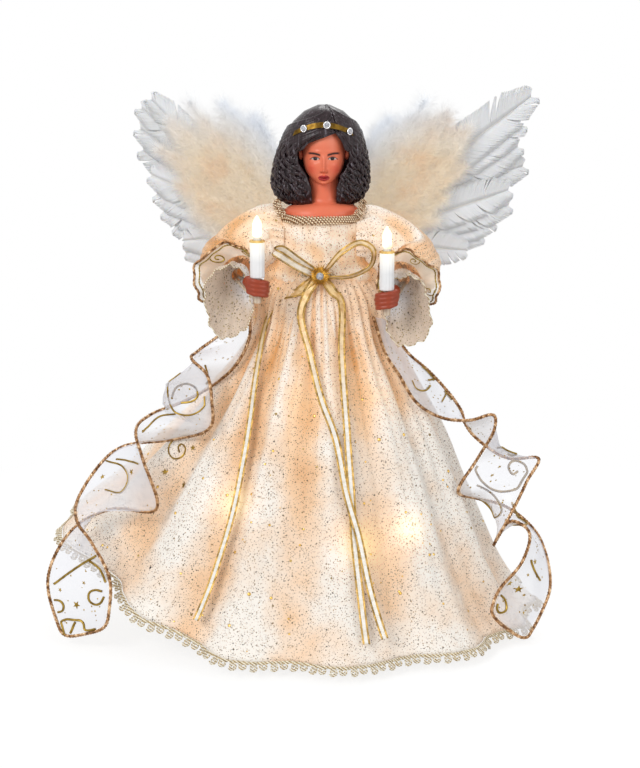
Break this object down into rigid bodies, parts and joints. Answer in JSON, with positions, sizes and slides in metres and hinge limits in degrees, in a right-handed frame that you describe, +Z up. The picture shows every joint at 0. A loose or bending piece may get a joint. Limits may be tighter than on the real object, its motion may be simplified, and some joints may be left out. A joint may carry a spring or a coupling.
{
  "type": "lighted angel figurine",
  "caption": "Lit angel in a gathered gown with feather wings and a candle in each hand, on a hollow cone that fits over a tree top or stands on a shelf.",
  "frame": {"origin": "on the base cone's axis, in the plane of its foot, where a tree's tip enters", "axes": "+Z up along the cone's axis, -Y towards the angel's front, +X to the right of someone who looks at the front"},
  "size_m": [0.2937, 0.2486, 0.3103],
  "materials": {
    "form_plastic": "thin moulded plastic, off-white",
    "skin_paint": "painted cast resin, warm brown, satin",
    "hair_paint": "painted cast resin, near black, glossy",
    "gold_metal": "stamped and gilt, polished",
    "arm_steel": "drawn steel wire",
    "clear_gem": "clear faceted stone with a foil back",
    "white_plastic": "moulded white plastic, lit through",
    "wire_plastic": "white insulated wire and lamp holders",
    "lamp_glass": "clear miniature lamp, lit warm white",
    "satin": "cream satin with fine metallic specks, translucent over the lamps",
    "lining_cotton": "plain thin cotton, off-white",
    "sheer_organza": "sheer organza with gold glitter scrolls and stars",
    "gold_cord": "twisted copper and gold metallic cord",
    "silver_lace": "gimp braid of pale gold and silver thread",
    "gold_ribbon": "pale gold satin ribbon with corded edges",
    "feather": "natural white goose feathers and marabou down"
  },
  "bodies": {
    "figure": {"base_cone": "form_plastic", "torso_form": "form_plastic", "head_bust": "skin_paint", "hair": "hair_paint", "headband": "gold_metal", "headband_gem_left": "clear_gem", "headband_gem_centre": "clear_gem", "headband_gem_right": "clear_gem", "arm_wire": "arm_steel", "left_hand": "skin_paint", "right_hand": "skin_paint", "left_candle_sleeve": "white_plastic", "right_candle_sleeve": "white_plastic", "left_candle_ring": "gold_metal", "right_candle_ring": "gold_metal", "light_string": "wire_plastic", "lamp_bulb_1": "lamp_glass", "lamp_bulb_2": "lamp_glass", "lamp_bulb_3": "lamp_glass", "lamp_bulb_4": "lamp_glass", "lamp_bulb_5": "lamp_glass", "lamp_bulb_6": "lamp_glass", "lamp_bulb_7": "lamp_glass", "lamp_bulb_8": "lamp_glass", "bodice": "satin", "skirt": "satin", "skirt_lining": "lining_cotton", "hem_lace": "silver_lace", "neckline_braid": "silver_lace", "waist_braid": "silver_lace", "left_sleeve": "satin", "right_sleeve": "satin", "left_under_sleeve": "lining_cotton", "right_under_sleeve": "lining_cotton", "left_cuff": "sheer_organza", "right_cuff": "sheer_organza", "ribbon_tail_left": "gold_ribbon", "ribbon_tail_middle": "gold_ribbon", "ribbon_tail_right": "gold_ribbon", "bow_loop_left": "gold_ribbon", "bow_loop_right": "gold_ribbon", "brooch": "gold_metal", "brooch_gem": "clear_gem", "left_drape": "sheer_organza", "right_drape": "sheer_organza", "left_drape_cord": "gold_cord", "right_drape_cord": "gold_cord", "wing_card": "feather", "left_wing_feathers": "feather", "right_wing_feathers": "feather", "left_wing_down": "feather", "right_wing_down": "feather"},
    "left_bulb": {"left_bulb_husk": "white_plastic", "left_bulb_glass": "lamp_glass"},
    "right_bulb": {"right_bulb_husk": "white_plastic", "right_bulb_glass": "lamp_glass"}
  },
  "joints": [
    {"name": "left_bulb_pull", "type": "slide", "parent": "figure", "child": "left_bulb", "axis": [0, 0, 1], "range_m": [0, 0.012]},
    {"name": "right_bulb_pull", "type": "slide", "parent": "figure", "child": "right_bulb", "axis": [0, 0, 1], "range_m": [0, 0.012]}
  ]
}
